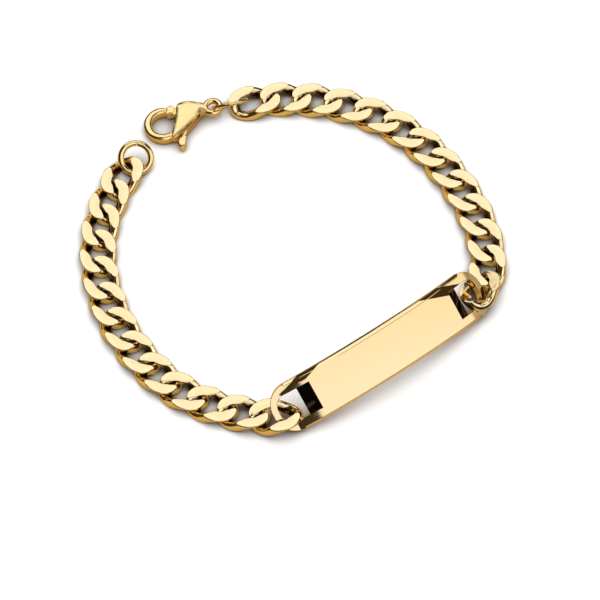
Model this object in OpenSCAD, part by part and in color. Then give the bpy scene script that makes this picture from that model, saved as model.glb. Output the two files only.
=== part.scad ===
// Identity bracelet: a curved plate between two arms of flat curb chain, lying open on a table.
// Millimetres. +Z is up, the table is z = 0, and the origin is the middle of the outline on the table.

/* [Chain] */
// Diameter of the round wire that the links are bent from
wire_d = 1.75; // [1.5:0.05:1.85]
// Length of the opening inside a link
hole_l = 5.9; // [5.7:0.05:7]
// Width of the opening inside a link
hole_w = 3.05; // [2.95:0.05:3.6]
// Thickness of the chain between its two ground faces
chain_h = 1.95; // [1.8:0.05:2.4]
// Play between two neighbouring links, along the chain
link_play = 0.15; // [0.1:0.05:0.3]

/* [Plate] */
// Width of the plate
plate_w = 8.8; // [8.4:0.1:11]
// Thickness of the plate under its face
plate_t = 2; // [1.8:0.1:3]
// Radius that the face is bent to, round the wrist
plate_r = 62; // [50:1:90]
// Length of the plain face, between the two ramps
face_l = 30.5; // [24:0.5:31]
// Length of the ramp from the face down to a slot
ramp_l = 2.4; // [2.2:0.1:2.8]
// Length over which the rails beside a slot fall from the face to the height of the bar
rail_fall = 5.2; // [4:0.2:6]
// Slope of the cuts over the two far corners of the face, in degrees
cut_slope = 22; // [18:1:26]
// Radius of the plate's corners
corner_r = 4.1; // [2.6:0.1:4.2]
// Width of the chamfer along the upper edges
chamfer = 0.5; // [0.2:0.1:0.7]
// Width of the slot that takes a link
slot_w = 5.2; // [5.2:0.1:5.6]
// Play of a link's wire in a slot, along the plate, between the foot of the ramp and the bar
slot_play = 2.55; // [2.2:0.05:4]
// Width of the bar that closes a slot
bar_w = 1.2; // [1:0.05:1.3]
// Thickness of the rails and the bar round a slot
frame_t = 1.2; // [1:0.05:1.3]

/* [Rings] */
// Outer diameter of the end ring
end_ring_d = 6.4; // [6.3:0.1:7.5]
// Diameter of the end ring's wire
end_wire_d = 1; // [0.8:0.05:1.1]
// Outer diameter of the clasp's small ring
clasp_ring_d = 6.9; // [6.8:0.05:7]
// Diameter of the clasp ring's wire
clasp_wire_d = 0.64; // [0.5:0.02:0.66]
// Width of the cut in a ring
ring_cut = 0.1; // [0.05:0.05:0.3]

/* [Clasp] */
// Length of the clasp, from the middle of its hook to the middle of its eye
clasp_l = 9.8; // [9.4:0.1:11]
// Height of the clasp's body, across its length
body_h = 6.5; // [6.2:0.1:7]
// Thickness of the clasp's body
clasp_t = 2.2; // [2:0.1:3]
// Width of the opening inside the hook
hook_open = 4.9; // [4.6:0.1:5]
// Width of the metal round the hook
hook_band = 0.95; // [0.8:0.05:1.1]
// Thickness of the hook
hook_t = 1.75; // [1.4:0.05:2]
// Diameter of the hole in the eye
eye_hole = 1.9; // [1.8:0.1:2.2]
// Width of the metal round the eye
eye_band = 0.75; // [0.6:0.05:0.8]
// Thickness of the lever inside the body
lever_t = 0.8; // [0.6:0.05:0.9]
// Diameter of the pin that the lever turns on
pin_d = 0.8; // [0.6:0.1:1]
// Play round the lever and its pin
lever_play = 0.1; // [0.08:0.01:0.15]

/* [Hidden] */
$fn = 48;

// Route of the chain, a row for each link from the plate outwards: the yaw of the link's length towards
// the plate, the lift of its front, its roll, in degrees, how far its middle lies above a flat link's and
// how far the link has slid aside in the one before
yaw = 0;
lift = 1;
roll = 2;
rise = 3;
aside = 4;
left_run = [[-8.7, 12.6, 4.5, 0, 0], [-13.6, 3.7, -2.4, 0.22, 0.07], [-20.7, 0, 0, 0, 0.09], [-34, 0, 0, 0, 0],
    [-46, 0, 0, 0, 0], [-54.5, 0, 0, 0, 0], [-62.5, 0, 0, 0, 0], [-71, 0, 0, 0, 0], [-78.5, 0, 0, 0, 0],
    [-88, 0, 0, 0, 0], [-99, 0, 0, 0, 0], [-108.5, 0, 0, 0, 0], [-117, 0, 0, 0, 0]];
right_run = [[-113.6, 13.4, 12.7, 0, 0], [-95.6, 3.2, 4.3, 0.36, 0.11], [-80.6, 0, 0, 0, -0.18],
    [-70.5, 0, 0, 0, 0], [-63.5, 0, 0, 0, 0], [-57, 0, 0, 0, 0], [-49, 0, 0, 0, 0], [-39, 0, 0, 0, 0],
    [-28.5, 0, 0, 0, 0], [-19, 0, 0, 0, 0], [-9, 0, 0, 0, 0], [1.5, 0, 0, 0, 0], [13, -1.3, -0.5, 0.115, 0]];

// How the plate lies: its yaw on the table, how far it leans over and how high its end bars are
plate_yaw = 37;
plate_lean = 37;
bar_rise = 2.41;
// The cuts over the far corners of the face, at its left end and at its right end: the length along the
// plate's edge and the width across the end of the face
far_cuts = [[3.6, 1.2], [6, 2.2]];
// From the middle of an end bar to the middle of the link hooked round it
left_hook = [-0.28, -0.12, -0.41];
right_hook = [0.39, -0.38, -0.17];
// How the rings and the clasp lie, from the outer end of the last link
end_ring_at = [0.68, 0.2, 0.915];
end_ring_turn = [31, 0, 9];
end_ring_cut = 78;
clasp_ring_at = [-0.63, -0.69, 1.62];
clasp_ring_turn = [0, 51.9, 106.4];
clasp_ring_cut = 90;
eye_at = [-3.87, -0.9];
clasp_yaw = 22;
clasp_tilt = 5.1;

// Chain
loop_a = (hole_l + wire_d) / 2;
loop_b = (hole_w + wire_d) / 2;
crest = 0.583 * wire_d;
pitch = hole_l - link_play;
side_power = 0.85;
crest_power = 0.7;
stations = 16;
corners = 6;
widest_cut = 75;
no_cut = 30;

// The centre line of a link's wire at angle t, rising over one end of each long side
function around(t) =
    let (s = sin(t), q = sin(2 * t))
    [loop_a * cos(t), loop_b * sign(s) * pow(abs(s), side_power), -crest * sign(q) * pow(abs(q), crest_power)];
function unit(v) = v / norm(v);
// Half the angle that a ground face takes of a wire whose middle lies h below it
function cut_angle(h) = min(widest_cut, max(no_cut, acos(max(-1, min(1, 2 * h / wire_d)))));
// The six corners of the wire's section at angle t, ground flat above and below
function section(t) =
    let (p = around(t),
        ahead = unit(around(t + 4) - around(t - 4)),
        side = unit(cross([0, 0, 1], ahead)),
        up = cross(ahead, side),
        over = cut_angle(chain_h / 2 - p.z),
        under = cut_angle(chain_h / 2 + p.z),
        turns = [90 - over, 90 + over, 180 + (over - under) / 2, 270 - under, 270 + under, (under - over) / 2])
    [for (a = turns) let (v = p + wire_d / 2 * (cos(a) * side + sin(a) * up))
        [v.x, v.y, min(chain_h / 2, max(-chain_h / 2, v.z))]];
link_points = [for (i = [0 : stations - 1]) each section(i * 360 / stations)];
function ring_corner(i, j) = (i % stations) * corners + j % corners;
link_faces = [for (i = [0 : stations - 1], j = [0 : corners - 1]) each
    [[ring_corner(i, j), ring_corner(i + 1, j + 1), ring_corner(i, j + 1)],
        [ring_corner(i, j), ring_corner(i + 1, j), ring_corner(i + 1, j + 1)]]];

// Where the links lie: each row's middle, worked outwards from the link at the plate
function level(row) = cos(row[lift]) * [cos(row[yaw]), sin(row[yaw]), 0];
function spots(run, k, p) =
    k == len(run) ? [] :
    let (across = run[k][aside] * [-sin(run[k][yaw]), cos(run[k][yaw]), 0],
        step = k == 0 ? [0, 0, 0] : across - pitch / 2 * (level(run[k - 1]) + level(run[k])),
        q = k == 0 ? p : [p.x + step.x, p.y + step.y, chain_h / 2 + run[k][rise]])
    concat([q], spots(run, k + 1, q));
// A point turned about X, then Y, then Z, as rotate() turns it
function turned(p, a) =
    let (q = [p.x, p.y * cos(a.x) - p.z * sin(a.x), p.y * sin(a.x) + p.z * cos(a.x)],
        r = [q.x * cos(a.y) + q.z * sin(a.y), q.y, q.z * cos(a.y) - q.x * sin(a.y)])
    [r.x * cos(a.z) - r.y * sin(a.z), r.x * sin(a.z) + r.y * cos(a.z), r.z];
function turns(row) = [row[roll], -row[lift], row[yaw]];

// Plate: its face is an arc about an axis below it, and its middle is at x = y = 0
plate_turn = [plate_lean, 0, plate_yaw];
function face_z(x) = sqrt(plate_r * plate_r - x * x) - plate_r;
function under_z(x) = sqrt(pow(plate_r - plate_t, 2) - x * x) - plate_r;
plate_l = face_l + 2 * (ramp_l + wire_d + slot_play + bar_w);
end_turn = asin(plate_l / 2 / plate_r);
bar_turn = end_turn - asin(bar_w / 2 / plate_r);
bar_x = (plate_r - plate_t + frame_t / 2) * sin(bar_turn);
bar_z = (plate_r - plate_t + frame_t / 2) * cos(bar_turn) - plate_r;
plate_at = [0, 0, bar_rise - cos(plate_lean) * bar_z];
function bar_middle(side) = plate_at + turned([side * bar_x, 0, bar_z], plate_turn);
left_spots = spots(left_run, 0, bar_middle(-1) + left_hook);
right_spots = spots(right_run, 0, bar_middle(1) + right_hook);

// The middle of the outline, from the points of all the links
all_points = concat(
    [for (k = [0 : len(left_run) - 1], p = link_points) left_spots[k] + turned(p, turns(left_run[k]))],
    [for (k = [0 : len(right_run) - 1], p = link_points) right_spots[k] + turned(p, turns(right_run[k]))]);
xs = [for (p = all_points) p.x];
ys = [for (p = all_points) p.y];
middle = [(min(xs) + max(xs)) / 2, (min(ys) + max(ys)) / 2, 0];

// The outer end of an arm's last link
function arm_end(run, at) =
    let (k = len(run) - 1) at[k] + turned([-loop_a, 0, 0], turns(run[k]));
left_end = arm_end(left_run, left_spots);
right_end = arm_end(right_run, right_spots);

// Clasp, in its own frame: X from the hook's middle to the eye's, its thickness centred on z = 0
clasp_turn = [0, -clasp_tilt, clasp_yaw];
hook_r = hook_open / 2;
hook_x = 0.03 * clasp_l;
clasp_rise = hook_t / 2 * cos(clasp_tilt) + (hook_r + hook_band - hook_x) * sin(clasp_tilt);
to_eye = turned([clasp_l, 0, 0], clasp_turn);
clasp_at = [right_end.x + eye_at.x - to_eye.x, right_end.y + eye_at.y - to_eye.y, clasp_rise];
pin_at = [0.48 * clasp_l, 0.19 * body_h];
nose_r = 3.1;
hook_from = 35;
hook_to = 290;
edge = 0.2;
eye_t = hook_t / 2 + 0.23;
channel_t = lever_t + 2 * lever_play;
// The body's outline, as shares of the clasp's length and the body's height
body_shape = [[0.07, -0.55], [0.17, -0.57], [0.31, -0.5], [0.55, -0.3], [0.76, -0.08], [0.87, -0.1],
    [0.87, 0.14], [0.76, 0.27], [0.62, 0.42], [0.47, 0.45], [0.385, 0.39], [0.33, 0.21], [0.265, 0],
    [0.17, -0.24], [0.095, -0.41]];
// The channel between the body's two cheeks, in the same shares
channel_shape = [[0.2, -0.66], [0.27, -0.25], [0.26, -0.08], [0.15, -0.08], [0.15, 0.5], [0.41, 0.5],
    [0.43, 0.37], [0.64, 0.37], [0.72, 0.14], [0.72, -0.66]];
// The lever's arm, its nose at the gate and its thumb tab
arm_shape = [[0.25, 0.22], [0.26, 0.37], [0.35, 0.4], [0.45, 0.3], [0.56, 0.25], [0.58, 0.12], [0.52, -0.05],
    [0.43, -0.3], [0.33, -0.55], [0.24, -0.62], [0.29, -0.4], [0.36, -0.12], [0.36, 0.05]];
nose_shape = [[0.08, 0.26], [0.16, 0.46], [0.3, 0.47], [0.34, 0.44], [0.32, 0.36], [0.265, 0.2]];
tab_shape = [[0.215, -0.61], [0.17, -0.7], [0.13, -0.82], [0.145, -0.91], [0.2, -0.91], [0.24, -0.82], [0.29, -0.7],
    [0.31, -0.62]];

function sized(shape) = [for (p = shape) [p.x * clasp_l, p.y * body_h]];
// A smooth closed curve through the points p, with n steps between two of them
function smooth(p, n) =
    [for (i = [0 : len(p) - 1], k = [0 : n - 1])
        let (a = p[(i + len(p) - 1) % len(p)], b = p[i], c = p[(i + 1) % len(p)], d = p[(i + 2) % len(p)],
            t = k / n)
        (2 * b + (c - a) * t + (2 * a - 5 * b + 4 * c - d) * t * t + (3 * b - a - 3 * c + d) * t * t * t) / 2];

function numbered(stem, n) = [for (k = [1 : n]) str(stem, k < 10 ? "0" : "", k)];
left_names = numbered("link_l", len(left_run));
right_names = numbered("link_r", len(right_run));

module link(at, row) {
    color("gold") translate(at - middle) rotate(turns(row)) polyhedron(link_points, link_faces);
}

// Puts a shape at an end of the plate, with x = 0 at the end of the face and z square to it there
module at_end(side) {
    translate([0, 0, -plate_r]) rotate([0, side * end_turn, 0]) translate([0, 0, plate_r])
        mirror([(1 - side) / 2, 0, 0]) translate([0, 0, -plate_r / 2]) linear_extrude(plate_r) children();
}

// What the square end and the two round corners leave off; a corner's arc just crosses the plate's side
module end_corners() {
    out = plate_w / 2 - corner_r + 0.02;
    difference() {
        translate([-corner_r, -plate_w]) square([corner_r + bar_w + frame_t + 2, 2 * plate_w]);
        translate([-corner_r - 1, -out]) square([corner_r + 1, 2 * out]);
        for (y = [-1, 1]) translate([-corner_r, y * out]) circle(corner_r);
    }
}

// A bent strip from the underside up to the height t, chamfered along its upper edges
module strip(t) {
    low = plate_r - plate_t;
    span = 2 * end_turn + 4;
    translate([0, 0, -plate_r]) rotate([-90, -90, 0]) rotate_extrude(angle = span, start = -span / 2, $fn = 360)
        polygon([[low, -plate_w / 2], [low + t - chamfer, -plate_w / 2], [low + t, chamfer - plate_w / 2],
            [low + t, plate_w / 2 - chamfer], [low + t - chamfer, plate_w / 2], [low, plate_w / 2]]);
}

// A wedge across the plate that falls from the end of the face to the height z over a length
module wedge(length, z) {
    face_end = face_l / 2;
    far = face_end + length;
    translate([0, plate_w, 0]) rotate([90, 0, 0]) linear_extrude(2 * plate_w)
        polygon([[0, 1], [0, -plate_r / 2], [far, -plate_r / 2], [far, z], [face_end, face_z(face_end)]]);
}

// What a slanting cut takes off a far corner of the face, before the plate is mirrored to an end
module far_cut(size) {
    middle_turn = asin((face_l - size.x) / 2 / plate_r);
    big = 2 * plate_w;
    translate([0, 0, -plate_r]) rotate([0, middle_turn, 0])
        translate([0, (plate_w - size.y) / 2, plate_r]) rotate([0, 0, -atan2(size.y, size.x)])
            rotate([-cut_slope, 0, 0]) translate([-big / 2, -1, 0]) cube([big, big, big / 2]);
}

module slot_outline() {
    from = (face_l - plate_l) / 2;
    r = corner_r - bar_w - 0.8;
    translate([from, -slot_w / 2]) square([-from - bar_w - r, slot_w]);
    translate([from, r - slot_w / 2]) square([-from - bar_w, slot_w - 2 * r]);
    for (y = [-1, 1]) translate([-bar_w - r, y * (slot_w / 2 - r)]) circle(r);
}

module id_plate() {
    foot = face_l / 2 + ramp_l;
    rail_foot = face_l / 2 + rail_fall;
    color("gold") translate(plate_at - middle) rotate(plate_turn) difference() {
        union() {
            strip(frame_t);
            intersection() {
                strip(plate_t);
                for (side = [-1, 1]) mirror([(1 - side) / 2, 0, 0]) difference() {
                    wedge(rail_fall, under_z(rail_foot) + frame_t);
                    far_cut(far_cuts[(1 + side) / 2]);
                }
            }
        }
        for (side = [-1, 1]) at_end(side) end_corners();
        for (side = [-1, 1]) difference() {
            at_end(side) slot_outline();
            mirror([(1 - side) / 2, 0, 0]) wedge(ramp_l, under_z(foot));
        }
    }
}

// A round ring of wire with a cut in it, at the angle cut_at
module jump_ring(outer, wire, cut_at) {
    r = (outer - wire) / 2;
    half_cut = asin(ring_cut / 2 / r);
    rotate_extrude(angle = 360 - 2 * half_cut, start = cut_at + half_cut) translate([r, 0]) circle(wire / 2);
}

module end_ring() {
    color("gold") translate(left_end + end_ring_at - middle) rotate(end_ring_turn)
        jump_ring(end_ring_d, end_wire_d, end_ring_cut);
}

module clasp_ring() {
    color("gold") translate(right_end + clasp_ring_at - middle) rotate(clasp_ring_turn)
        jump_ring(clasp_ring_d, clasp_wire_d, clasp_ring_cut);
}

module in_clasp() {
    translate(clasp_at - middle) rotate(clasp_turn) children();
}

// A flat piece of thickness t, centred on z = 0
module slab(t) {
    translate([0, 0, -t / 2]) linear_extrude(t) children();
}

// A round band of width w and thickness t outside the radius r, with its edges taken off
module band(r, w, t, span, from) {
    half = t / 2;
    rotate_extrude(angle = span, start = from)
        polygon([[r, edge - half], [r + edge, -half], [r + w - edge, -half], [r + w, edge - half],
            [r + w, half - edge], [r + w - edge, half], [r + edge, half], [r, half - edge]]);
}

module hook() {
    difference() {
        translate([hook_x, 0, 0]) band(hook_r, hook_band, hook_t, hook_to - hook_from, hook_from);
        translate(pin_at) cylinder(h = 2 * clasp_t, r = nose_r + lever_play, center = true);
    }
}

module clasp_body() {
    color("gold") in_clasp() {
        hook();
        difference() {
            slab(clasp_t) polygon(smooth(sized(body_shape), 4));
            slab(channel_t) polygon(sized(channel_shape));
            translate([clasp_l, 0, 0]) cylinder(h = 2 * clasp_t, d = eye_hole, center = true);
        }
        translate([clasp_l, 0, 0]) band(eye_hole / 2, eye_band, eye_t, 360, 0);
        translate(pin_at) cylinder(h = clasp_t, d = pin_d, center = true);
    }
}

module clasp_lever() {
    color("goldenrod") in_clasp() {
        difference() {
            slab(lever_t) polygon(smooth(sized(arm_shape), 3));
            translate(pin_at) cylinder(h = 2 * clasp_t, d = pin_d + 2 * lever_play, center = true);
        }
        intersection() {
            slab(hook_t) polygon(sized(nose_shape));
            translate(pin_at) cylinder(h = 2 * clasp_t, r = nose_r, center = true);
        }
        slab(lever_t + 2 * edge) polygon(smooth(sized(tab_shape), 3));
    }
}

id_plate();
end_ring();
clasp_ring();
clasp_body();
clasp_lever();
for (k = [0 : len(left_run) - 1])
    link(left_spots[k], left_run[k]);
for (k = [0 : len(right_run) - 1])
    link(right_spots[k], right_run[k]);
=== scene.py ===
from math import sin, cos, pi, radians, degrees, asin, atan2

import bmesh
import bpy
from mathutils import Matrix, Vector
from mathutils.kdtree import KDTree


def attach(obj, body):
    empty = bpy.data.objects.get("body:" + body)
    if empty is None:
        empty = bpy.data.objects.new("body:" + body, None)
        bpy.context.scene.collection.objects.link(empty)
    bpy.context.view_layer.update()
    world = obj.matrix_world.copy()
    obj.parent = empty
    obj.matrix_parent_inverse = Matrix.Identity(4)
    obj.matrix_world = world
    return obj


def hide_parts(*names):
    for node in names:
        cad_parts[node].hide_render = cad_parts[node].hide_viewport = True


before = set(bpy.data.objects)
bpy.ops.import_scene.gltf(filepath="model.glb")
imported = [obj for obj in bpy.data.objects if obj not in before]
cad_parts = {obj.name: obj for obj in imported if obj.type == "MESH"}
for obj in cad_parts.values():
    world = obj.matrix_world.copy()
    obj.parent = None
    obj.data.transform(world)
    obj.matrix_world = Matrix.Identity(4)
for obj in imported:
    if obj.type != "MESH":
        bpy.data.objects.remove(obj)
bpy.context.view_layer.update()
mm = 0.001
weld = 1e-4  # how near a cut may pass a point and still take that point, in the mesh's own unit


# Meshes

def newObject(name, bm, angle=None):
    # edges that bend by more than the angle stay sharp; with no angle every face stays flat
    mesh = bpy.data.meshes.new(name)
    bm.to_mesh(mesh)
    bm.free()
    obj = bpy.data.objects.new(name, mesh)
    bpy.context.scene.collection.objects.link(obj)
    if angle:
        shadeByAngle(mesh, angle)
    return obj


def shadeByAngle(mesh, angle):
    for poly in mesh.polygons:
        poly.use_smooth = True
    bm = bmesh.new()
    bm.from_mesh(mesh)
    limit = radians(angle)
    for edge in bm.edges:
        edge.smooth = len(edge.link_faces) == 2 and edge.calc_face_angle(0) < limit
    bm.to_mesh(mesh)
    bm.free()


def turned(x, y, z):
    turns = [Matrix.Rotation(radians(a), 3, axis) for a, axis in ((z, "Z"), (y, "Y"), (x, "X"))]
    return turns[0] @ turns[1] @ turns[2]


def placed(turn, at):
    return Matrix.Translation(Vector(at) * mm) @ turn.to_4x4()


def everything(bm):
    return bm.verts[:] + bm.edges[:] + bm.faces[:]


def settled(bm):
    # puts points, edges and faces in the order of their places, so that each run gives the same mesh
    rank = {v: k for k, v in enumerate(sorted(bm.verts, key=lambda v: v.co.to_tuple(4)))}
    bm.verts.sort(key=rank.get)
    bm.verts.index_update()
    for parts in (bm.edges, bm.faces):
        order = sorted(parts, key=lambda part: sorted(v.index for v in part.verts))
        rank = {part: k for k, part in enumerate(order)}
        parts.sort(key=rank.get)
        parts.index_update()


def prism(outline, low, high):
    bm = bmesh.new()
    face = bm.faces.new([bm.verts.new((x, y, low)) for x, y in outline])
    bmesh.ops.recalc_face_normals(bm, faces=[face])
    out = bmesh.ops.extrude_face_region(bm, geom=[face])
    moved = [g for g in out["geom"] if isinstance(g, bmesh.types.BMVert)]
    bmesh.ops.translate(bm, verts=moved, vec=(0, 0, high - low))
    bmesh.ops.recalc_face_normals(bm, faces=bm.faces)
    return bm


def combined(bmA, bmB, operation):
    target = newObject("target", bmA)
    tool = newObject("tool", bmB)
    mod = target.modifiers.new("cut", "BOOLEAN")
    mod.operation = operation
    mod.solver = "EXACT"
    mod.object = tool
    bpy.context.view_layer.update()
    graph = bpy.context.evaluated_depsgraph_get()
    bm = bmesh.new()
    bm.from_mesh(target.evaluated_get(graph).to_mesh())
    for obj in (target, tool):
        mesh = obj.data
        bpy.data.objects.remove(obj)
        bpy.data.meshes.remove(mesh)
    settled(bm)
    bmesh.ops.remove_doubles(bm, verts=bm.verts, dist=weld)
    settled(bm)
    return bm


def trimmed(bm, at, beyond, dist=weld):
    # cuts off what lies beyond a plane and closes the hole
    cut = bmesh.ops.bisect_plane(bm, geom=everything(bm), plane_co=at, plane_no=beyond,
                                 clear_outer=True, dist=dist)
    rim = [g for g in cut["geom_cut"] if isinstance(g, bmesh.types.BMEdge)]
    bmesh.ops.holes_fill(bm, edges=rim, sides=0)


def bevelled(bm, edges, offset, segments=2, clamp=False):
    bmesh.ops.bevel(bm, geom=edges, offset=offset, segments=segments, profile=0.5,
                    affect="EDGES", clamp_overlap=clamp, material=-1)
    settled(bm)


def sharpEdges(bm, angle):
    limit = radians(angle)
    return [e for e in bm.edges if len(e.link_faces) == 2 and e.calc_face_angle(0) > limit]


def each(items):
    # every item once, in the order met, so that each run gives the same mesh
    return list(dict.fromkeys(items))


def edgesOf(faces):
    return each(e for f in faces for e in f.edges)


def vertsOf(faces):
    return each(v for f in faces for v in f.verts)


# Nodes

def mixed(tree, a, b, factor, blend="MIX"):
    # a and b are colours or the outputs of other nodes
    mix = tree.nodes.new("ShaderNodeMix")
    mix.data_type = "RGBA"
    mix.blend_type = blend
    tree.links.new(factor, mix.inputs["Factor"])
    for socket, value in (("A", a), ("B", b)):
        if isinstance(value, bpy.types.NodeSocket):
            tree.links.new(value, mix.inputs[socket])
        else:
            mix.inputs[socket].default_value = value
    return mix.outputs["Result"]


def ranged(tree, value, low, high, start=0, end=1, kind="LINEAR"):
    node = tree.nodes.new("ShaderNodeMapRange")
    node.interpolation_type = kind
    for socket, number in (("From Min", low), ("From Max", high), ("To Min", start), ("To Max", end)):
        node.inputs[socket].default_value = number
    tree.links.new(value, node.inputs["Value"])
    return node.outputs["Result"]


def grey(value):
    return (value, value, value, 1)


# Camera, floor and light

camera = {"aim": (1.3348, -8.7284, 0), "elevation": 56, "distance": 793.7,
          "lens": 270, "sensor": 36, "near": 0.05, "far": 20}


def makeCamera():
    data = bpy.data.cameras.new("camera")
    data.lens = camera["lens"]
    data.sensor_width = camera["sensor"]
    data.clip_start = camera["near"]
    data.clip_end = camera["far"]
    obj = bpy.data.objects.new("camera", data)
    up = radians(camera["elevation"])
    back = Vector((0, -cos(up), sin(up))) * camera["distance"] * mm
    obj.location = Vector(camera["aim"]) * mm + back
    obj.rotation_euler = (radians(90 - camera["elevation"]), 0, 0)
    bpy.context.scene.collection.objects.link(obj)
    bpy.context.scene.camera = obj


def makeLight(name, centre, along, size, radiance, colour=(1, 1, 1), seen="glossy"):
    # a softbox that faces the bracelet, its middle at centre (metres) and its long side the way of
    # along; radiance is what a mirror shows of it, and seen is glossy where only the metal mirrors
    # it, diffuse where it only lights the table
    data = bpy.data.lights.new(name, "AREA")
    data.shape = "RECTANGLE"
    data.size, data.size_y = size
    data.energy = radiance * pi * size[0] * size[1]
    data.color = colour
    obj = bpy.data.objects.new(name, data)
    back = Vector(centre).normalized()
    side = (Vector(along) - back * back.dot(Vector(along))).normalized()
    up = back.cross(side)
    turn = Matrix((side, up, back)).transposed()
    obj.matrix_world = Matrix.Translation(centre) @ turn.to_4x4()
    obj.visible_camera = False
    obj.visible_glossy = seen == "glossy"
    obj.visible_diffuse = seen == "diffuse"
    bpy.context.scene.collection.objects.link(obj)


# Painted reflection: the metal mirrors the table warm, though the camera sees it white, brightest in a band
# along the bracelet's own circle: middle is the circle's radius, band half the band's width and fade where
# it ends (metres). Painted shade darkens the table seen through the links, down to the painted shade colour
# where no more than shut of the sky shows.
floorLook = {"size": 1.5, "white": 0.94, "rough": 0.9,
             "mirrored": (0.54, 0.39, 0.155), "middle": 0.034, "band": 0.009, "fade": 0.018, "far": 0.12,
             "paintedHoleShade": (0.15, 0.11, 0.075, 1), "reach": 0.004, "shut": 0.2, "open": 0.78}
studio = {"fill": 0.99, "dark": (0.045, 0.034, 0.02, 1)}


def floorMaterial():
    mat = bpy.data.materials.new("floorWhite")
    mat.use_nodes = True
    tree = mat.node_tree
    nodes, links = tree.nodes, tree.links
    shader = nodes["Principled BSDF"]
    shader.inputs["Roughness"].default_value = floorLook["rough"]
    shader.inputs["Specular IOR Level"].default_value = 0
    place = nodes.new("ShaderNodeNewGeometry")
    flat = nodes.new("ShaderNodeVectorMath")
    flat.operation = "LENGTH"
    links.new(place.outputs["Position"], flat.inputs[0])
    away = nodes.new("ShaderNodeMath")
    away.operation = "SUBTRACT"
    away.inputs[1].default_value = floorLook["middle"]
    links.new(flat.outputs["Value"], away.inputs[0])
    size = nodes.new("ShaderNodeMath")
    size.operation = "ABSOLUTE"
    links.new(away.outputs["Value"], size.inputs[0])
    # painted reflection: the table as the metal mirrors it, warm and brightest near the bracelet's circle
    near = ranged(tree, size.outputs["Value"], floorLook["band"], floorLook["fade"],
                  1, floorLook["far"], "SMOOTHSTEP")
    paintedReflection = nodes.new("ShaderNodeVectorMath")
    paintedReflection.operation = "SCALE"
    paintedReflection.inputs[0].default_value = floorLook["mirrored"]
    links.new(near, paintedReflection.inputs["Scale"])
    # painted shade: the table's colour darkens where the links around it hide the sky
    paintedHoleShade = nodes.new("ShaderNodeAmbientOcclusion")
    paintedHoleShade.inputs["Distance"].default_value = floorLook["reach"]
    shade = ranged(tree, paintedHoleShade.outputs["AO"], floorLook["shut"], floorLook["open"])
    seen = mixed(tree, floorLook["paintedHoleShade"], grey(floorLook["white"]), shade)
    path = nodes.new("ShaderNodeLightPath")
    # the camera sees the painted shade, the metal sees the painted reflection
    look = mixed(tree, seen, paintedReflection.outputs["Vector"], path.outputs["Is Glossy Ray"])
    links.new(look, shader.inputs["Base Color"])
    return mat


def makeWorld():
    # an even fill for the table, and a dark room in the metal's reflections
    world = bpy.data.worlds.new("studio")
    world.use_nodes = True
    tree = world.node_tree
    path = tree.nodes.new("ShaderNodeLightPath")
    look = mixed(tree, grey(studio["fill"]), studio["dark"], path.outputs["Is Glossy Ray"])
    tree.links.new(look, tree.nodes["Background"].inputs["Color"])
    bpy.context.scene.world = world


def makeStage():
    bm = bmesh.new()
    bmesh.ops.create_grid(bm, x_segments=1, y_segments=1, size=floorLook["size"])
    floor = newObject("floor", bm)
    floor.data.materials.append(floorMaterial())
    makeWorld()
    # overhead light for the table, which the metal doesn't mirror
    makeLight("overhead", (0, 0.3, 1.1), (1, 0, 0), (1.8, 1.3), 0.95, seen="diffuse")
    # mirrored in the chain's ground faces
    makeLight("softboxFar", (-0.05, 0.6, 0.75), (1, 0, 0), (1.2, 0.8), 1.12, (1, 0.99, 0.97))
    # mirrored low in the far side of the links beside the plate
    makeLight("softboxLow", (-0.14, 0.93, 0.36), (1, 0, 0), (0.22, 0.2), 0.95, (1, 0.97, 0.92))
    # mirrored in the plate from end to end
    makeLight("softboxPlate", (0.65, -0.39, 0.675), (0.549, 0.745, -0.376), (1.95, 0.8), 1.02)
    # mirrored in the rings, from above the camera
    makeLight("softboxBack", (0, -0.38, 0.92), (1, 0, 0), (0.5, 0.4), 0.95, (1, 0.98, 0.94))
    # mirrored in all that lies flat, when seen from above
    makeLight("softboxTop", (0, 0.02, 1.05), (1, 0, 0), (0.4, 0.4), 0.45, (1, 0.98, 0.94))
    # mirrored in the falling rails at the right
    makeLight("panelRight", (0.92, 0.36, 0.16), (0, 0, 1), (0.24, 0.5), 0.4, (1, 0.93, 0.8))
    bpy.context.scene.view_settings.view_transform = "Standard"


# Gold: shade is the attribute that paints shade onto a piece, how it mixes and its colour; in painted
# shading the plate turns from its deep to its pale colour between two distances (metres) the way of paleWay

polish = {"scale": 900, "detail": 4, "bright": 0.35, "dull": 0.7, "rougher": 1.5}
# painted shade: the links' inner walls are darkened towards brown
paintedShadeInRecess = ("paintedRecessShade", "MULTIPLY", (0.1, 0.06, 0.025, 1))
inSlot = ("slotShade", "MIX", (0.03, 0.028, 0.024, 1))
goldLook = {
    # the plate's deep and pale colours are painted shading
    "plate": {"colour": (0.96, 0.7, 0.325, 1), "pale": (0.99, 0.79, 0.485, 1), "paleWay": (0.45, -0.89, 0),
              "paleFrom": 0.017, "paleTo": 0.034, "worn": (0.99, 0.98, 0.955, 1), "rough": 0.06,
              "shade": inSlot},
    "chain": {"colour": (1, 0.81, 0.5, 1), "worn": (0.97, 0.95, 0.9, 1), "rough": 0.09, "shade": paintedShadeInRecess},
    "clasp": {"colour": (1, 0.77, 0.38, 1), "worn": (0.97, 0.95, 0.9, 1), "rough": 0.15, "shade": paintedShadeInRecess},
    "ring": {"colour": (1, 0.76, 0.37, 1), "worn": (0.97, 0.95, 0.9, 1), "rough": 0.13, "shade": paintedShadeInRecess}}


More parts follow.
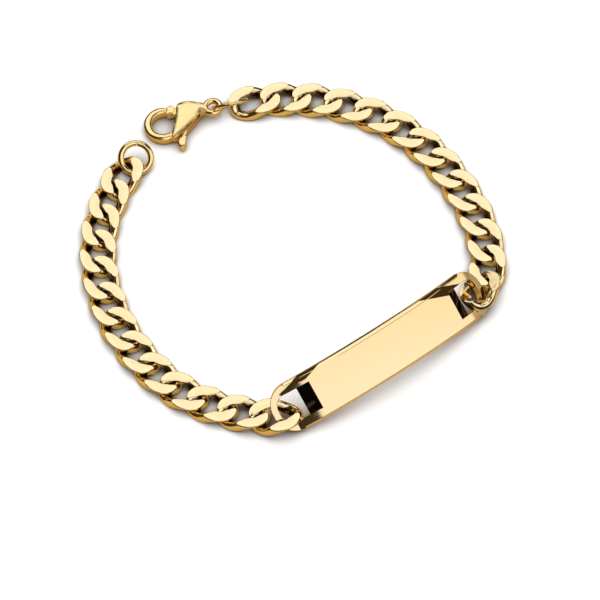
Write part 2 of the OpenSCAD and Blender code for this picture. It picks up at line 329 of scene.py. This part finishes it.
def polishGroup():
    # where the polish is bright and where it is dull, as a mask
    group = bpy.data.node_groups.new("polishMarks", "ShaderNodeTree")
    group.interface.new_socket("Scale", in_out="INPUT", socket_type="NodeSocketFloat")
    group.interface.new_socket("Mask", in_out="OUTPUT", socket_type="NodeSocketFloat")
    nodes, links = group.nodes, group.links
    given = nodes.new("NodeGroupInput")
    out = nodes.new("NodeGroupOutput")
    coord = nodes.new("ShaderNodeTexCoord")
    noise = nodes.new("ShaderNodeTexNoise")
    noise.inputs["Detail"].default_value = polish["detail"]
    links.new(coord.outputs["Object"], noise.inputs["Vector"])
    links.new(given.outputs["Scale"], noise.inputs["Scale"])
    links.new(noise.outputs["Fac"], out.inputs["Mask"])
    return group


polishMarks = polishGroup()


# painted shading on the plate: its deep colour towards the upper left, its pale colour towards the lower
# right
def paintedShading(tree, look):
    coord = tree.nodes.new("ShaderNodeTexCoord")
    along = tree.nodes.new("ShaderNodeVectorMath")
    along.operation = "DOT_PRODUCT"
    along.inputs[1].default_value = look["paleWay"]
    tree.links.new(coord.outputs["Object"], along.inputs[0])
    share = ranged(tree, along.outputs["Value"], look["paleFrom"], look["paleTo"], kind="SMOOTHSTEP")
    return mixed(tree, look["colour"], look["pale"], share)


def goldMaterial(name, look):
    mat = bpy.data.materials.new(name)
    mat.use_nodes = True
    tree = mat.node_tree
    shader = tree.nodes["Principled BSDF"]
    shader.inputs["Metallic"].default_value = 1
    marks = tree.nodes.new("ShaderNodeGroup")
    marks.node_tree = polishMarks
    marks.inputs["Scale"].default_value = polish["scale"]
    dulled = marks.outputs["Mask"]
    rough = ranged(tree, dulled, polish["bright"], polish["dull"], look["rough"],
                   look["rough"] * polish["rougher"])
    tree.links.new(rough, shader.inputs["Roughness"])
    colour = paintedShading(tree, look) if "pale" in look else look["colour"]
    colour = mixed(tree, colour, look["worn"], dulled, "MULTIPLY")
    # painted shade where the piece carries the attribute
    attribute, blend, dark = look["shade"]
    shade = tree.nodes.new("ShaderNodeAttribute")
    shade.attribute_name = attribute
    colour = mixed(tree, colour, dark, shade.outputs["Fac"], blend)
    tree.links.new(colour, shader.inputs["Base Color"])
    return mat


goldPlate = goldMaterial("goldPlate", goldLook["plate"])
goldChain = goldMaterial("goldChain", goldLook["chain"])
goldClasp = goldMaterial("goldClasp", goldLook["clasp"])
goldRing = goldMaterial("goldRing", goldLook["ring"])


def dressSolids():
    for name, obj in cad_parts.items():
        mat = goldPlate if name == "id_plate" else goldClasp if name.startswith("clasp") else goldChain
        obj.data.materials.clear()
        obj.data.materials.append(mat)


def finishPiece(obj, node, mat):
    obj.data.materials.append(mat)
    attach(obj, "lever" if node == "clasp_lever" else "bracelet")
    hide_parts(node)


# Chain: each link is a twisted ring of round wire, ground flat above and below

chain = {"wire": 1.82, "holeL": 5.82, "holeW": 2.94, "height": 1.93, "pitch": 5.75, "lies": 1.95,
         "crest": 0.583, "sidePower": 0.85, "crestPower": 0.7,  # the wire's way up and down round the link
         "knots": 16, "perKnot": 6, "sides": 32,
         "swell": 0.14, "egg": 0.45, "oval": 1.5,  # wire wider at the flats, and fuller outwards
         "ground": 0.07, "edge": 0.11,
         "paintedRecessShade": (0.5, 0.7),  # how far inwards and how deep the full painted shade lies
         "angle": 14}

# each link's heading, slope and roll (degrees), lift and step aside (mm), from the plate outwards
leftRun = [(-8.7, 12.6, 4.5, 0, 0), (-13.6, 3.7, -2.4, 0.22, 0.07), (-20.7, 0, 0, 0, 0.09),
           (-34, 0, 0, 0, 0), (-46, 0, 0, 0, 0), (-54.5, 0, 0, 0, 0), (-62.5, 0, 0, 0, 0),
           (-71, 0, 0, 0, 0), (-78.5, 0, 0, 0, 0), (-88, 0, 0, 0, 0), (-99, 0, 0, 0, 0),
           (-108.5, 0, 0, 0, 0), (-117, 0, 0, 0, 0)]
rightRun = [(-113.6, 13.4, 12.7, 0, 0), (-95.6, 3.2, 4.3, 0.36, 0.11), (-80.6, 0, 0, 0, -0.18),
            (-70.5, 0, 0, 0, 0), (-63.5, 0, 0, 0, 0), (-57, 0, 0, 0, 0), (-49, 0, 0, 0, 0),
            (-39, 0, 0, 0, 0), (-28.5, 0, 0, 0, 0), (-19, 0, 0, 0, 0), (-9, 0, 0, 0, 0),
            (1.5, 0, 0, 0, 0), (13, -1.3, -0.5, 0.115, 0)]
firstLeft = Vector((-2.93689, -34.4824, 2.0))
firstRight = Vector((33.0043, -8.1636, 2.24))


def powered(value, power):
    # a power that keeps the sign
    if abs(value) < 1e-9:
        return 0
    return (1 if value > 0 else -1) * abs(value) ** power


def around(t):
    a = (chain["holeL"] + chain["wire"]) / 2
    b = (chain["holeW"] + chain["wire"]) / 2
    crest = chain["crest"] * chain["wire"]
    return Vector((a * cos(t), b * powered(sin(t), chain["sidePower"]),
                   -crest * powered(sin(2 * t), chain["crestPower"])))


def smoothLoop(points, n):
    # a closed curve through the points, with n steps from each to the next
    out = []
    count = len(points)
    for i in range(count):
        a, b, c, d = (points[(i + k) % count] for k in (-1, 0, 1, 2))
        for k in range(n):
            t = k / n
            bend = (2 * a - 5 * b + 4 * c - d) * t * t + (3 * b - a - 3 * c + d) * t ** 3
            out.append((2 * b + (c - a) * t + bend) / 2)
    return out


def outwardAt(point):
    return Vector((point.x, point.y * chain["oval"], 0)).normalized()


def linkShape():
    knots = [around(2 * pi * i / chain["knots"]) for i in range(chain["knots"])]
    line = smoothLoop(knots, chain["perKnot"])
    count, radius = len(line), chain["wire"] / 2
    bm = bmesh.new()
    paintedRecessShade = bm.verts.layers.float.new("paintedRecessShade")
    rings = []
    for i in range(count):
        ahead = (line[(i + 1) % count] - line[i - 1]).normalized()
        side = Vector((0, 0, 1)).cross(ahead).normalized()
        up = ahead.cross(side)
        outward = side.dot(outwardAt(line[i]))
        swell = 1 + chain["swell"] * abs(sin(4 * pi * i / count))
        circle = bmesh.ops.create_circle(bm, segments=chain["sides"], radius=radius)["verts"]
        for vert in circle:
            x, y = vert.co.xy
            fuller = 1 + chain["egg"] * outward * x / radius
            vert.co = line[i] + x * swell * side + y * fuller * up
        rings.append(circle)
    hoops = [each(e for v in ring for e in v.link_edges) for ring in rings]
    for i in range(count):
        bmesh.ops.bridge_loops(bm, edges=hoops[i] + hoops[(i + 1) % count])
    bmesh.ops.recalc_face_normals(bm, faces=bm.faces)
    half = chain["height"] / 2
    # painted shade: the wire darkens on its side towards the hole, the more the lower it lies
    inward, deep = chain["paintedRecessShade"]
    for point, ring in zip(line, rings):
        out = outwardAt(point)
        for vert in ring:
            lean = max(0, (point - vert.co).dot(out)) / inward
            vert[paintedRecessShade] = min(1, lean) * min(1, max(0, half - vert.co.z) / deep)
    trimmed(bm, (0, 0, half - chain["ground"]), (0, 0, 1))
    trimmed(bm, (0, 0, -half), (0, 0, -1))
    bmesh.ops.recalc_face_normals(bm, faces=bm.faces)
    flats = [f for f in bm.faces if len(f.verts) > 8 and abs(f.normal.z) > 0.999]
    bevelled(bm, edgesOf(flats), chain["edge"])
    return bm


def linkPlaces(run, first):
    # a link lies half a pitch along the heading before it and half along its own
    places, at, before = [], first, None
    for heading, slope, roll, lift, aside in run:
        way = radians(heading)
        level = cos(radians(slope)) * Vector((cos(way), sin(way), 0))
        if places:
            at = at + aside * Vector((-sin(way), cos(way), 0)) - chain["pitch"] / 2 * (before + level)
            at.z = chain["lies"] / 2 + lift
        places.append(placed(turned(roll, -slope, heading), at))
        before = level
    return places


def makeChain():
    shape = linkShape()
    bmesh.ops.scale(shape, verts=shape.verts, vec=(mm, mm, mm))
    for letter, run, first in (("l", leftRun, firstLeft), ("r", rightRun, firstRight)):
        for k, place in enumerate(linkPlaces(run, first)):
            bm = shape.copy()
            bmesh.ops.transform(bm, matrix=place, verts=bm.verts)
            node = "link_%s%02d" % (letter, k + 1)
            link = newObject("piece_" + node, bm, angle=chain["angle"])
            finishPiece(link, node, goldChain)
    shape.free()


# Plate: modelled straight, with u along it and its face at w = 0, then bent. Sides are -1 at the left
# and 1 at the right.

plate = {"half": 23.72, "width": 8.8, "thick": 2.0, "radius": 62, "face": 15.41,
         "frame": 1.2, "corner": 4.1, "slot": 5.2, "bar": 1.2, "slotCorner": 0.8,
         "ramp": {-1: 2.45, 1: 3.2},
         # each fall's length, its height over the frame, and the width from which it is cut
         "falls": {-1: [(5.3, 0, -6)], 1: [(7.2, 0.4, -6), (5.3, 0, -2.2)]},
         # the length, width and slope of the slant at the face's far corners
         "farCuts": {-1: (3.0, 1.0, 30), 1: (6.0, 2.2, 24)},
         "chamfer": {-1: 0.34, 1: 0.5},  # along the near edge and along the far one
         "edge": 0.08, "step": 0.4, "cornerSteps": 24, "slotSteps": 16, "big": 10,
         "nearLevel": 0.015, "short": 0.09, "sharp": 16, "angle": 8,
         "at": (16.9948, -23.7484, 6.85562), "yaw": 37, "lean": 37}


def arcPoints(cx, cy, r, start, n):
    # a quarter turn, with n steps
    turns = [radians(start + 90 * k / n) for k in range(n + 1)]
    return [(cx + r * cos(a), cy + r * sin(a)) for a in turns]


def plateBlank():
    h, w, c, n = plate["half"], plate["width"] / 2, plate["corner"], plate["cornerSteps"]
    outline = (arcPoints(h - c, c - w, c, -90, n) + arcPoints(h - c, w - c, c, 0, n)
               + arcPoints(c - h, w - c, c, 90, n) + arcPoints(c - h, c - w, c, 180, n))
    return prism(outline, -plate["thick"], 0)


def cutAbove(bm, profile, near, far):
    # takes off what lies above a line of (u, w) points, between the widths near and far
    cutter = prism(profile, -far, -near)
    turn = Matrix.Rotation(pi / 2, 3, "X")
    bmesh.ops.rotate(cutter, verts=cutter.verts, cent=(0, 0, 0), matrix=turn)
    return combined(bm, cutter, "DIFFERENCE")


def cutRails(bm, low):
    top, out, up = plate["face"], plate["half"] + 2, 2
    for side in (1, -1):
        for fall, left, near in plate["falls"][side]:
            foot = low + left
            line = ((top, 0), (top + fall, foot), (out, foot), (out, up), (top, up))
            bm = cutAbove(bm, [(side * u, z) for u, z in line], near, plate["width"] / 2 + 1)
    return bm


def cutFarCorners(bm, low):
    big = plate["big"]
    for side, (length, wide, slope) in plate["farCuts"].items():
        cutter = bmesh.new()
        bmesh.ops.create_cube(cutter, size=2 * big)
        bmesh.ops.translate(cutter, verts=cutter.verts, vec=(0, big - 1, big))
        bmesh.ops.rotate(cutter, verts=cutter.verts, cent=(0, 0, 0),
                         matrix=turned(-slope, 0, -degrees(atan2(wide, length))))
        bmesh.ops.translate(cutter, verts=cutter.verts,
                            vec=(plate["face"] - length / 2, plate["width"] / 2 - wide / 2, 0))
        if side < 0:
            bmesh.ops.scale(cutter, verts=cutter.verts, vec=(-1, 1, 1))
            bmesh.ops.recalc_face_normals(cutter, faces=cutter.faces)
        # the cut stops at the frame
        wall = 3 * big
        above = prism([(-wall, -wall), (wall, -wall), (wall, wall), (-wall, wall)], low, wall)
        bm = combined(bm, combined(cutter, above, "INTERSECT"), "DIFFERENCE")
    return bm


def plateChamfers(bm, low):
    # the long edges of the face and of the rails are taken off at 45 degrees
    nearly = 1e-3
    for side, size in plate["chamfer"].items():
        edges = []
        for e in bm.edges:
            a, b = e.verts[0].co, e.verts[1].co
            onSide = abs(a.y - side * plate["width"] / 2) < nearly and abs(a.y - b.y) < nearly
            if onSide and min(a.z, b.z) > low - nearly and abs(a.x - b.x) > 0.05:
                edges.append(e)
        bevelled(bm, edges, size, segments=1)


def cutSlots(bm):
    r = plate["corner"] - plate["bar"] - plate["slotCorner"]
    end, half, n = plate["half"] - plate["bar"], plate["slot"] / 2, plate["slotSteps"]
    top, t = plate["face"], plate["thick"]
    for side in (1, -1):
        slot = ([(top, -half)] + arcPoints(end - r, r - half, r, -90, n)
                + arcPoints(end - r, half - r, r, 0, n) + [(top, half)])
        cutter = prism([(side * x, y) for x, y in slot], -t - 1, 1)
        # the ramp from the face down to the slot is what the slanted end of the cutter leaves
        beyond = Vector((-side * t, 0, -plate["ramp"][side]))
        trimmed(cutter, (side * top, 0, 0), beyond, dist=1e-5)
        bmesh.ops.recalc_face_normals(cutter, faces=cutter.faces)
        bm = combined(bm, cutter, "DIFFERENCE")
    return bm


def flattened(bm):
    bmesh.ops.dissolve_limit(bm, angle_limit=radians(0.5), verts=bm.verts, edges=bm.edges)
    settled(bm)


def levelled(bm, heights):
    # a mirror shows the least dent, so points that are nearly level are made so
    for vert in bm.verts:
        for height in heights:
            if abs(vert.co.z - height) < plate["nearLevel"]:
                vert.co.z = height


def shadeRamps(bm):
    shade = bm.faces.layers.float.new("slotShade")
    for face in bm.faces:
        middle = face.calc_center_median()
        steep = abs(face.normal.x) > 0.45 and face.normal.z > 0.5
        inside = abs(middle.y) < plate["slot"] / 2 and abs(middle.x) < plate["face"] + plate["ramp"][1]
        face[shade] = float(steep and inside)


def plateShape():
    low = plate["frame"] - plate["thick"]
    heights = (0, low, -plate["thick"])
    bm = cutRails(plateBlank(), low)
    bm = cutFarCorners(bm, low)
    flattened(bm)
    plateChamfers(bm, low)
    bm = cutSlots(bm)
    flattened(bm)
    bmesh.ops.remove_doubles(bm, verts=bm.verts, dist=plate["short"])
    levelled(bm, heights)
    bmesh.ops.dissolve_degenerate(bm, dist=0.01, edges=bm.edges)
    shadeRamps(bm)
    bevelled(bm, sharpEdges(bm, plate["sharp"]), plate["edge"])
    # cuts across, so that the plate bends evenly
    h = plate["half"]
    n = int(2 * h / plate["step"])
    for k in range(1, n):
        u = -h + 2 * h * k / n
        bmesh.ops.bisect_plane(bm, geom=everything(bm), plane_co=(u, 0, 0), plane_no=(1, 0, 0), dist=weld)
    levelled(bm, heights)
    return bm


def makePlate():
    bm = plateShape()
    r = plate["radius"]
    for v in bm.verts:
        a = v.co.x / r
        v.co = Vector(((r + v.co.z) * sin(a), v.co.y, (r + v.co.z) * cos(a) - r))
    bmesh.ops.scale(bm, verts=bm.verts, vec=(mm, mm, mm))
    place = placed(turned(plate["lean"], 0, plate["yaw"]), plate["at"])
    bmesh.ops.transform(bm, matrix=place, verts=bm.verts)
    bmesh.ops.recalc_face_normals(bm, faces=bm.faces)
    shape = newObject("piece_id_plate", bm, angle=plate["angle"])
    finishPiece(shape, "id_plate", goldPlate)


# Rings: round wire with a cut, whose middle stands at the angle cut

endRing = {"outer": 6.54, "wire": 1.14, "cut": 78, "gap": 0.1,
           "at": (-28.1467, 20.69, 1.95), "turn": (31, 0, 9)}
claspRing = {"outer": 6.9, "wire": 0.64, "cut": 90, "gap": 0.1,
             "at": (-11.2544, 32.26, 2.79678), "turn": (0, 51.9, 106.4)}
ringMesh = {"sides": 20, "steps": 96, "edge": 0.08, "angle": 35}


def makeRing(node, ring, mat):
    r, w = (ring["outer"] - ring["wire"]) / 2, ring["wire"] / 2
    half = degrees(asin(ring["gap"] / 2 / r))
    bm = bmesh.new()
    upright = placed(turned(90, 0, ring["cut"] + half), (0, 0, 0)) @ Matrix.Translation((r, 0, 0))
    bmesh.ops.create_circle(bm, cap_ends=True, segments=ringMesh["sides"], radius=w, matrix=upright)
    bmesh.ops.spin(bm, geom=everything(bm), cent=(0, 0, 0), axis=(0, 0, 1),
                   angle=radians(360 - 2 * half), steps=ringMesh["steps"], use_merge=False)
    bmesh.ops.recalc_face_normals(bm, faces=bm.faces)
    caps = [f for f in bm.faces if len(f.verts) > 4]
    bevelled(bm, edgesOf(caps), ringMesh["edge"])
    bmesh.ops.scale(bm, verts=bm.verts, vec=(mm, mm, mm))
    place = placed(turned(*ring["turn"]), ring["at"])
    bmesh.ops.transform(bm, matrix=place, verts=bm.verts)
    shape = newObject("piece_" + node, bm, angle=ringMesh["angle"])
    finishPiece(shape, node, mat)


# Clasp: the solids, with their flat sides domed towards the edges as in a casting

clasp = {"at": (-23.5449, 28.3934, 1.14764), "turn": (0, -5.1, 22),
         # the doming: its grid, how far in from the rim it reaches, and its fall by that reach
         "grid": 0.22, "rimStep": 0.05, "reach": 1.6, "drop": 0.2, "smallest": 0.4,
         "edge": {"clasp_body": 0.09, "clasp_lever": 0.17}, "angle": 38,
         # the hook and the eye: middle, radius and half width of the band, gain, and from where to where
         "fuller": [((0.294, 0), 2.925, 0.6, 0.3, 62, 285), ((9.8, 0), 1.325, 0.5, 0.25, 0, 360)],
         "fadeTurn": 25,
         "tab": (1.7, -5.46, 1.5, 0.6)}  # the thumb tab: middle, reach and gain


def facing(face, way):
    return face.normal.z * way > 0.99


def flatFaces(bm, way, level):
    return [f for f in bm.faces
            if facing(f, way) and abs(f.calc_center_median().z * way - level) < 0.01]


def domed(bm, way, level):
    faces = flatFaces(bm, way, level)
    rim = [e for e in edgesOf(faces) if sum(f in faces for f in e.link_faces) == 1]
    points = []
    for e in rim:
        a, b = e.verts[0].co, e.verts[1].co
        n = max(1, int((a - b).length / clasp["rimStep"]))
        points += [a.lerp(b, k / n) for k in range(n)]
    tree = KDTree(len(points))
    for k, point in enumerate(points):
        tree.insert(point, k)
    tree.balance()
    for axis in (Vector((1, 0, 0)), Vector((0, 1, 0))):
        spread = [v.co.dot(axis) for f in faces for v in f.verts]
        place = min(spread) + clasp["grid"]
        while place < max(spread):
            faces = flatFaces(bm, way, level)
            geom = vertsOf(faces) + edgesOf(faces) + faces
            bmesh.ops.bisect_plane(bm, geom=geom, plane_co=axis * place, plane_no=axis, dist=weld)
            place += clasp["grid"]
    away = {v: tree.find(v.co)[2] for v in vertsOf(flatFaces(bm, way, level))}
    reach = min(clasp["reach"], max(away.values()))
    for v, d in away.items():
        v.co.z -= way * clasp["drop"] * reach * (1 - min(1, d / reach)) ** 2


def domeSides(bm):
    for way in (1, -1):
        levels = {}
        for f in bm.faces:
            if facing(f, way):
                level = round(f.calc_center_median().z * way, 2)
                levels[level] = levels.get(level, 0) + f.calc_area()
        for level, area in sorted(levels.items()):
            if area > clasp["smallest"] and level > 0:
                domed(bm, way, level)


def swollen(bm):
    # the hook and the eye are fuller than the flat solids
    for (x, y), radius, band, gain, start, stop in clasp["fuller"]:
        for vert in bm.verts:
            out = vert.co.xy - Vector((x, y))
            if abs(out.length - radius) > band or not out.length:
                continue
            angle = degrees(atan2(out.y, out.x)) % 360
            ends = (angle - start) / clasp["fadeTurn"], (stop - angle) / clasp["fadeTurn"]
            share = 1 if stop - start >= 360 else max(0, min(1, *ends))
            out *= 1 + (out.length - radius) / out.length * gain * share
            vert.co.xy = out + Vector((x, y))


def swollenTab(bm):
    # the thumb tab ends in a ball
    x, y, reach, gain = clasp["tab"]
    for vert in bm.verts:
        out = vert.co.xy - Vector((x, y))
        share = max(0, 1 - out.length / reach)
        vert.co.xy = Vector((x, y)) + out * (1 + gain * share)
        vert.co.z *= 1 + gain * 0.5 * share


def makeCast(node, mat):
    bm = bmesh.new()
    bm.from_mesh(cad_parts[node].data)
    place = placed(turned(*clasp["turn"]), clasp["at"]) @ Matrix.Scale(mm, 4)
    bmesh.ops.transform(bm, matrix=place.inverted(), verts=bm.verts)
    bmesh.ops.remove_doubles(bm, verts=bm.verts, dist=2e-3)
    bmesh.ops.dissolve_limit(bm, angle_limit=radians(1), verts=bm.verts, edges=bm.edges)
    bm.normal_update()
    if node == "clasp_body":
        swollen(bm)
    domeSides(bm)
    if node == "clasp_lever":
        swollenTab(bm)
    bevelled(bm, sharpEdges(bm, clasp["angle"]), clasp["edge"][node], clamp=True)
    bmesh.ops.transform(bm, matrix=place, verts=bm.verts)
    shape = newObject("piece_" + node, bm, angle=clasp["angle"])
    finishPiece(shape, node, mat)


makeCamera()
makeStage()
dressSolids()
print("stage made")
makeChain()
print("chain made")
makePlate()
print("plate made")
makeRing("end_ring", endRing, goldRing)
makeRing("clasp_ring", claspRing, goldRing)
print("rings made")
makeCast("clasp_body", goldClasp)
makeCast("clasp_lever", goldClasp)
print("clasp made")
